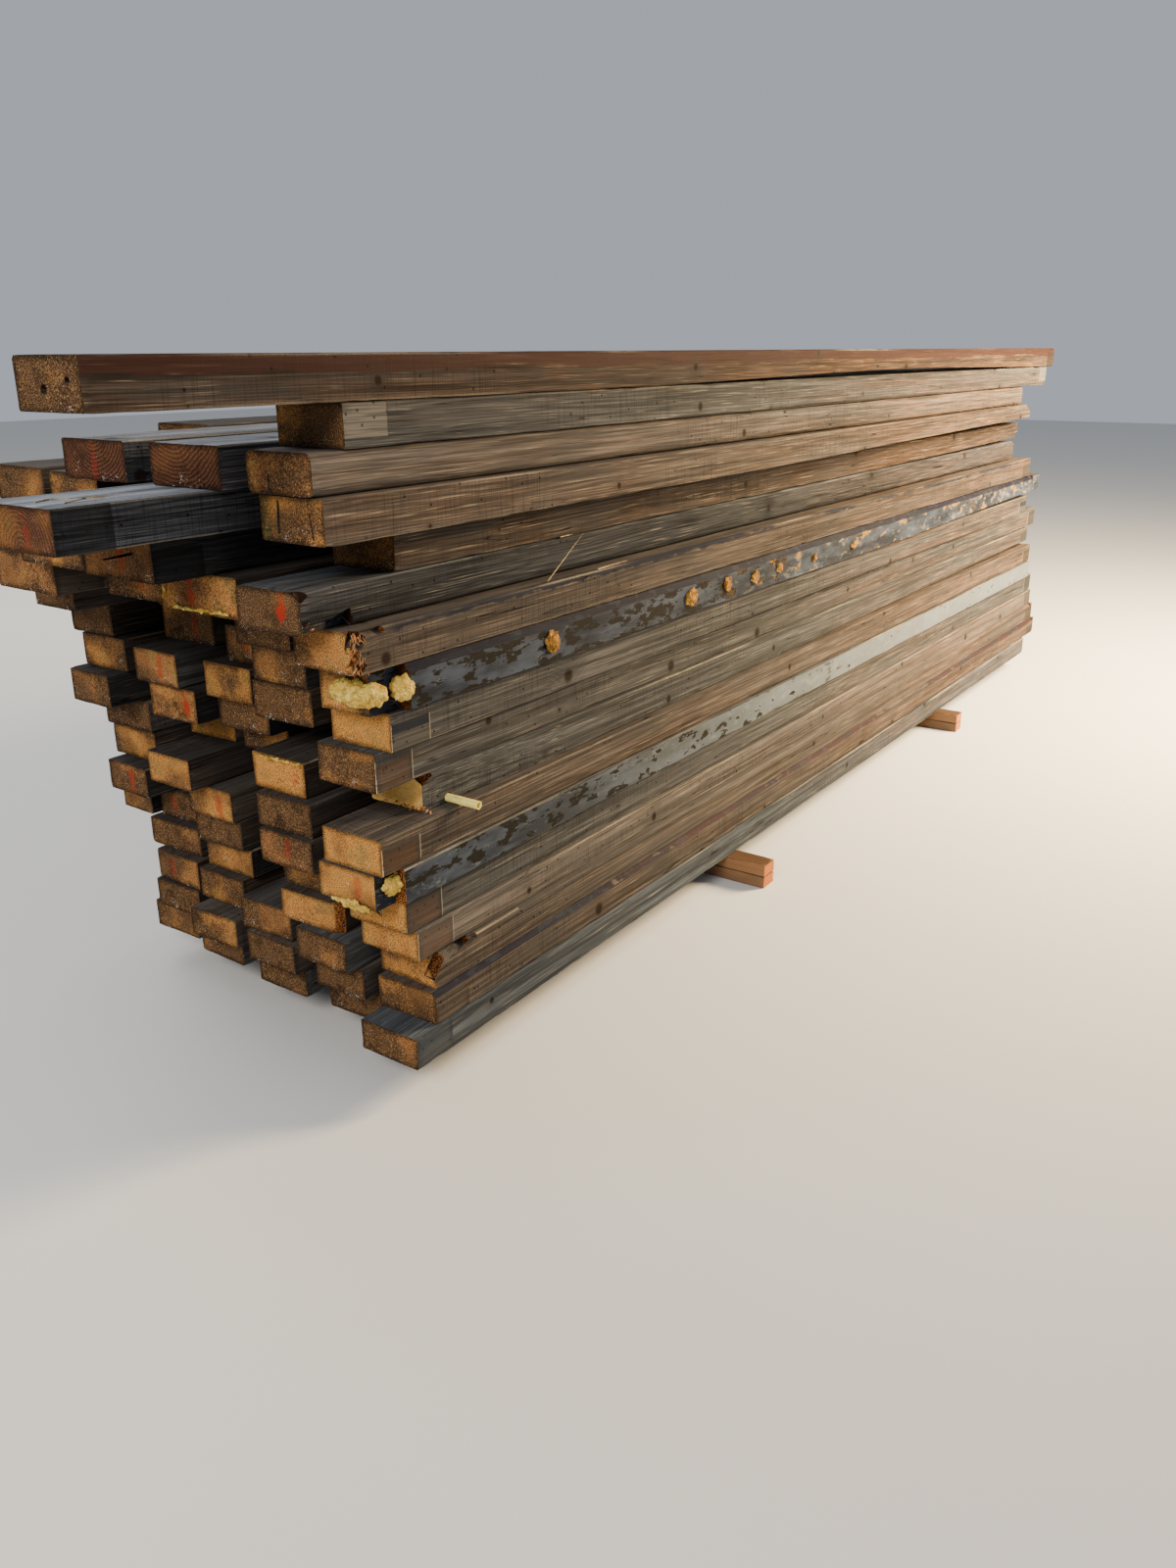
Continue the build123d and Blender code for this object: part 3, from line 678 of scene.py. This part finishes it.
def carve(single, axis, step, seed):
    # Slices one timber finely, wears its arrises and ends, and never grows it. axis is its long axis.
    points = np.array([v.co for v in single.verts])
    low, high = points.min(0), points.max(0)
    sides = [i for i in range(3) if i != axis]
    for side in sides:
        places = bothEnds(low[side], high[side], carving["arrisSlices"])
        if high[side] - low[side] > carving["wideFrom"]:
            reach = carving["arrisSlices"][-1]
            places += spaced(low[side] + reach, high[side] - reach, carving["innerStep"])
        slicePlanes(single, places, side)
    reach = carving["endSlices"][-1]
    places = bothEnds(low[axis], high[axis], carving["endSlices"])
    slicePlanes(single, places + spaced(low[axis] + reach, high[axis] - reach, step), axis)
    single.normal_update()
    centre = (low + high) / 2
    half = (high - low) / 2
    counts = [carving["alongCount"] if i == axis else carving["acrossCount"] for i in range(3)]
    shift = Vector((seed * 3.7, seed * 1.9, seed * 5.3))
    faceKinds = []
    for face in single.faces:
        facing = face.normal
        bevel = min(abs(facing[side]) for side in sides) > carving["bevelFrom"]
        faceKinds.append((abs(facing[axis]) > carving["endFrom"], facing.z > carving["topFrom"], bevel))
    moves = []
    for vert in single.verts:
        rel = vert.co - Vector(centre)
        toEnd = half[axis] - abs(rel[axis])
        toArris = max(half[side] - abs(rel[side]) for side in sides)
        spot = vert.co + shift
        stretched = Vector([spot[i] * counts[i] for i in range(3)])
        chip = max(0.0, noise.noise(stretched * 2.3) * 1.5 + noise.noise(stretched * 7.1) * 0.9 - 0.1)
        rippled = 0.5 + 0.5 * noise.noise(stretched * 0.7)
        depth = carving["faceDepth"] * rippled
        if toArris < carving["chipReach"]:
            depth += carving["chipDepth"] * chip * (1 - toArris / carving["chipReach"])
        if toEnd < carving["endReach"]:
            pitted = 0.5 + 0.5 * noise.noise(spot * 70.0)
            depth += carving["endDepth"] * pitted * (1 - toEnd / carving["endReach"])
        moves.append(vert.normal * -depth)
    for vert, move in zip(single.verts, moves):
        vert.co += move
    return low, high, faceKinds


def meshFrom(made, name, material):
    for face in made.faces:
        face.smooth = True
    for edge in made.edges:
        if len(edge.link_faces) == 2 and edge.calc_face_angle(0.0) > carving["sharpFrom"]:
            edge.smooth = False
    mesh = bpy.data.meshes.new(name)
    made.to_mesh(mesh)
    made.free()
    mesh.materials.append(material)
    piece = bpy.data.objects.new(name, mesh)
    bpy.context.scene.collection.objects.link(piece)
    return piece


def writeAttributes(mesh, columns, faceKinds):
    for name, values in columns.items():
        layer = mesh.attributes.new(name, "FLOAT_VECTOR", "POINT")
        layer.data.foreach_set("vector", np.asarray(values, np.float32).ravel())
    layer = mesh.attributes.new("faceIs", "FLOAT_VECTOR", "FACE")
    layer.data.foreach_set("vector", np.asarray(faceKinds, np.float32).ravel())


def buildTimbers(nodeName, pieceName, material, axis, chooser):
    # Builds worn copies of all the timbers of one CAD node as one piece that stands for the node.
    source = cleanCopy(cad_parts[nodeName])
    source.verts.index_update()
    islands = islandsOf(source)
    islands.sort(key=lambda island: min(v.co.y if axis == 0 else v.co.x for v in island))
    whole = bmesh.new()
    columns = {}
    kinds = []
    for place, island in enumerate(islands):
        single = onlyIsland(source, island)
        info = chooser(place)
        low, high, faceKinds = carve(single, axis, info["step"], info["seed"])
        single.verts.ensure_lookup_table()
        points = np.array([v.co for v in single.verts])
        grain = points - (low + high) / 2
        if axis == 0:
            grain[:, 0] = points[:, 0] - low[0]
        columns.setdefault("grain", []).append(grain)
        for key, value in info["vectors"](low, high).items():
            columns.setdefault(key, []).append(np.tile(value, (len(points), 1)))
        kinds += faceKinds
        part = bpy.data.meshes.new("part")
        single.to_mesh(part)
        single.free()
        whole.from_mesh(part)
        bpy.data.meshes.remove(part)
    source.free()
    piece = meshFrom(whole, pieceName, material)
    writeAttributes(piece.data, {key: np.concatenate(value) for key, value in columns.items()}, kinds)
    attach(piece, "root")
    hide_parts(nodeName)
    return len(piece.data.polygons)


def joistChooser(course):
    def choose(place):
        rng = random.Random(course * 31 + place)
        look = lookOf(course, place, rng)
        seed = rng.uniform(0, 3)
        pithAt = (rng.uniform(-0.09, 0.09), rng.uniform(-0.11, -0.02) * rng.choice((-1, 1)), seed)

        def vectors(low, high):
            return {
                "halfSizes": (high[0] - low[0], (high[1] - low[1]) / 2, (high[2] - low[2]) / 2),
                "pith": pithAt,
                "tone": (look["gold"], look["warm"], look["dirt"]),
                "marks": (look["nearPrint"], look["farPrint"], look["inked"]),
                "printSpan": (look["low"], look["high"], look["red"]),
                "tint": woodTones[look["wood"]],
                "paint": (look["paint"], look["bevel"], look["wine"]),
                "extras": (look["wet"], look["edge"], look["rusty"]),
                "more": (look["top"], look["ringed"], look["green"]),
            }

        step = carving["frontStep"] if place == 0 else carving["backStep"]
        return {"step": step, "seed": seed, "vectors": vectors}
    return choose


def lathChooser(tier):
    def choose(place):
        seed = tier * 2.0 + place * 0.7 + 0.3

        def vectors(low, high):
            return {"pith": (0, 0, seed)}

        return {"step": lathMake["step"], "seed": seed, "vectors": vectors}
    return choose


faces = 0
for course in fronts:
    faces += buildTimbers("course_%02d" % course, "joistsCourse%02d" % course, joistLook, 0,
                          joistChooser(course))
print("joists carved,", faces, "faces")

for tier, (node, name) in enumerate((("bearers_lower", "lathsLower"), ("bearers_upper", "lathsUpper"))):
    buildTimbers(node, name, lathLook, 1, lathChooser(tier))
print("bearer laths carved")


def buildFoam():
    # Foam lumps, remeshed finely and pushed out into bubbles.
    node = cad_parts["foam_residue"]
    source = bpy.data.objects.new("foamSource", node.data.copy())
    bpy.context.scene.collection.objects.link(source)
    remesh = source.modifiers.new("Remesh", "REMESH")
    remesh.mode = "VOXEL"
    remesh.voxel_size = foamMake["voxel"]
    made = bmesh.new()
    made.from_object(source, bpy.context.evaluated_depsgraph_get())
    bpy.data.objects.remove(source)
    everyAxis = dict(use_axis_x=True, use_axis_y=True, use_axis_z=True)
    bmesh.ops.smooth_vert(made, verts=made.verts, factor=0.5, **everyAxis)
    made.normal_update()
    moves = []
    for vert in made.verts:
        uneven = 0.0002 * noise.cell_vector(vert.co * 60).x
        bubble = 0.25 - noise.voronoi(vert.co * foamMake["bubbleCount"])[0][0]
        fine = noise.noise(vert.co * foamMake["fineCount"])
        push = foamMake["bubble"] * bubble + foamMake["fine"] * fine - foamMake["inset"]
        moves.append(vert.normal * (push + uneven))
    for vert, move in zip(made.verts, moves):
        vert.co += move
    piece = meshFrom(made, "foamResidue", foamLook)
    browned = [foamMake["browned"] * (v.co.x >= foamMake["brownedFrom"]) for v in piece.data.vertices]
    piece.data.attributes.new("browned", "FLOAT", "POINT").data.foreach_set("value", browned)
    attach(piece, "root")
    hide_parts("foam_residue")


buildFoam()
print("foam built")


# Splinters and straws: colours.
splinterLook = {
    "crumbPale": srgb(170, 104, 54),
    "crumbDark": srgb(92, 52, 30),
    "strawPale": srgb(196, 172, 128),
    "strawDark": srgb(146, 122, 88),
    "line": srgb(74, 54, 38),
}


def splinterWood():
    s = Shader("drySplinterWood")
    look = splinterLook
    place = s.objectPlace()
    pale = s.number("pale")
    px, py, pz = s.split(place)
    fibre = s.rough(s.join(px * 160.0, py * 900.0, pz * 900.0), 1.0, 2.0, 0.6)
    patch = s.rough(place, 90.0, 3.0)
    crumb = s.blend(s.between(patch, 0.4, 0.62), look["crumbPale"], look["crumbDark"])
    straw = s.blend(s.between(patch, 0.35, 0.65), look["strawPale"], look["strawDark"])
    color = s.blend(pale, crumb, straw)
    color = s.blend(s.between(fibre, 0.55, 0.35) * 0.5, color, look["line"])
    return s.finish(color, 0.7 + fibre * 0.25, s.relief(fibre, 0.0005, 0.7), {"Specular IOR Level": 0.1})


splinterMaterial = splinterWood()

# Loose straws and splinters lying on the joists, in millimetres: start, end, thickness.
straws = [
    ((-1356, -472, 917.5), (-1184, -440, 988.5), 2.2),
    ((-1262, -436, 989.0), (-1078, -424, 989.0), 2.6),
    ((-1182, -474, 917.0), (-1060, -468, 917.0), 4.0),
    ((-2186, -196, 1132.5), (-2092, -152, 1133.0), 2.4),
    ((-2170, -128, 1132.5), (-2112, -196, 1133.0), 2.0),
    ((-2140, -170, 1134.0), (-2060, -176, 1132.8), 2.2),
    ((-2204, -150, 1132.8), (-2150, -120, 1132.8), 3.0),
]
# Crumbled wood at broken edges, in millimetres: the low and high corner of the space where the splinters
# start, how many there are, the way they point and how long they are.
crumbs = [
    dict(low=(-1886, -474, 846), high=(-1862, -462, 912), count=70, way=(-0.5, -0.45, -0.5), long=20),
    dict(low=(-1706, -452, 543), high=(-1700, -330, 549), count=34, way=(-0.7, -0.1, -0.25), long=16),
    dict(low=(-1952, -430, 922), high=(-1930, -420, 980), count=16, way=(-0.7, -0.5, 0.1), long=12),
]
# A splinter: its rings, how much thinner its tip is, its height by its width, and its corners.
sliver = {"rings": 5, "taper": 0.8, "flat": 0.6, "corners": ((-1, -1), (1, -1), (1, 1), (-1, 1))}


def addSliver(made, layer, start, end, thick, pale, rng):
    start, end = Vector(start) / 1000, Vector(end) / 1000
    ahead = (end - start).normalized()
    across = ahead.cross(Vector((0.3, 0.2, 1.0))).normalized()
    above = across.cross(ahead)
    bend = rng.uniform(-0.04, 0.04) * (end - start).length
    rings = []
    for i in range(sliver["rings"]):
        share = i / (sliver["rings"] - 1)
        half = thick / 2000 * (1 - sliver["taper"] * share ** 2) * rng.uniform(0.8, 1.1)
        middle = start.lerp(end, share) + across * bend * math.sin(math.pi * share)
        wide, tall = across * half, above * half * sliver["flat"]
        rings.append([made.verts.new(middle + wide * a + tall * b) for a, b in sliver["corners"]])
    for first, second in zip(rings, rings[1:]):
        for k in range(4):
            made.faces.new((first[k], first[(k + 1) % 4], second[(k + 1) % 4], second[k]))
    made.faces.new(rings[0][::-1])
    made.faces.new(rings[-1])
    for ring in rings:
        for vert in ring:
            vert[layer] = pale


def buildSlivers(pieceName, filler):
    made = bmesh.new()
    layer = made.verts.layers.float.new("pale")
    filler(made, layer, random.Random(12))
    bmesh.ops.recalc_face_normals(made, faces=made.faces)
    piece = meshFrom(made, pieceName, splinterMaterial)
    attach(piece, "root")


def fillStraws(made, layer, rng):
    for start, end, thick in straws:
        addSliver(made, layer, start, end, thick, 1.0, rng)


def fillCrumbs(made, layer, rng):
    for spread in crumbs:
        for i in range(spread["count"]):
            start = [rng.uniform(a, b) for a, b in zip(spread["low"], spread["high"])]
            way = Vector([w + rng.uniform(-0.45, 0.45) for w in spread["way"]]).normalized()
            end = Vector(start) + way * spread["long"] * rng.uniform(0.5, 1.2)
            addSliver(made, layer, start, end, rng.uniform(1.5, 4.0), rng.uniform(0.0, 0.5), rng)


buildSlivers("looseStraws", fillStraws)
buildSlivers("crumbledEdges", fillCrumbs)
print("straws and crumbled edges built")

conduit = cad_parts["conduit_stub"]
conduit.data.materials.clear()
conduit.data.materials.append(conduitLook)
for polygon in conduit.data.polygons:
    polygon.use_smooth = abs(polygon.normal.y) < conduitMake["roundBelow"]

# Stage: pale floor, soft light and the camera of the photograph.
stage = {
    "floorLow": -14.0,
    "floorHigh": 22.0,
    "floorTone": (0.62, 0.61, 0.59),
    "worldTone": (0.82, 0.89, 1.0),
    "worldPower": 0.5,
}
# Lights: place, what they point at, size, power and tone.
lights = {
    "keyLight": ((-6.7, -1.7, 4.2), (-1.6, 0.0, 0.6), (3.0, 2.4), 385.0, (1.0, 0.94, 0.87)),
    "farLight": ((2.2, -2.5, 2.3), (2.6, -0.4, 0.8), (2.0, 1.6), 1150.0, (1.0, 0.76, 0.44)),
    "backLight": ((0.5, 6.0, 4.6), (0.0, 0.4, 0.5), (4.0, 3.0), 260.0, (1.0, 0.97, 0.92)),
    "topLight": ((-1.0, 2.0, 6.5), (0.0, 0.0, 1.0), (5.0, 4.0), 90.0, (0.92, 0.96, 1.0)),
}


def buildFloor():
    low, high = stage["floorLow"], stage["floorHigh"]
    mesh = bpy.data.meshes.new("paleFloor")
    mesh.from_pydata([(low, low, 0), (high, low, 0), (high, high, 0), (low, high, 0)], [], [(0, 1, 2, 3)])
    floor = bpy.data.objects.new("paleFloor", mesh)
    bpy.context.scene.collection.objects.link(floor)
    s = Shader("paleFloor")
    speckle = s.rough(s.objectPlace(), 3.0, 3.0)
    tone = stage["floorTone"]
    color = s.blend(speckle, tuple(c * 0.96 for c in tone), tone)
    mesh.materials.append(s.finish(color, 0.9, s.relief(speckle, 0.001, 0.1)))


def addLight(name, place, target, size, power, tone):
    data = bpy.data.lights.new(name, "AREA")
    data.shape = "RECTANGLE"
    data.size, data.size_y = size
    data.energy = power
    data.color = tone
    light = bpy.data.objects.new(name, data)
    light.location = place
    light.rotation_euler = (Vector(target) - Vector(place)).to_track_quat("-Z", "Y").to_euler()
    bpy.context.scene.collection.objects.link(light)


buildFloor()
world = bpy.data.worlds.new("softSky")
bpy.context.scene.world = world
world.use_nodes = True
background = world.node_tree.nodes["Background"]
background.inputs["Color"].default_value = (*stage["worldTone"], 1.0)
background.inputs["Strength"].default_value = stage["worldPower"]
for name, settings in lights.items():
    addLight(name, *settings)

# Solved from the photograph: the lens, how the camera looks down, leans and turns, and where it stands.
shot = {
    "lens": 27.707,
    "sensor": 36.0,
    "down": math.radians(19.85),
    "lean": math.radians(0.19),
    "turn": math.radians(34.35),
    "place": (-3.2526, -1.8625, 1.3455),
}


def buildCamera():
    down, lean, turn = shot["down"], shot["lean"], shot["turn"]
    ahead = Vector((math.cos(down) * math.cos(turn), math.cos(down) * math.sin(turn), -math.sin(down)))
    right = Vector((math.sin(turn), -math.cos(turn), 0.0))
    below = ahead.cross(right)
    leanedRight = right * math.cos(lean) + below * math.sin(lean)
    leanedBelow = below * math.cos(lean) - right * math.sin(lean)
    data = bpy.data.cameras.new("photoCamera")
    data.lens = shot["lens"]
    data.sensor_width = shot["sensor"]
    camera = bpy.data.objects.new("photoCamera", data)
    turnMatrix = Matrix((leanedRight, -leanedBelow, -ahead)).transposed().to_4x4()
    camera.matrix_world = Matrix.Translation(shot["place"]) @ turnMatrix
    bpy.context.scene.collection.objects.link(camera)
    bpy.context.scene.camera = camera


buildCamera()
print("stage set")
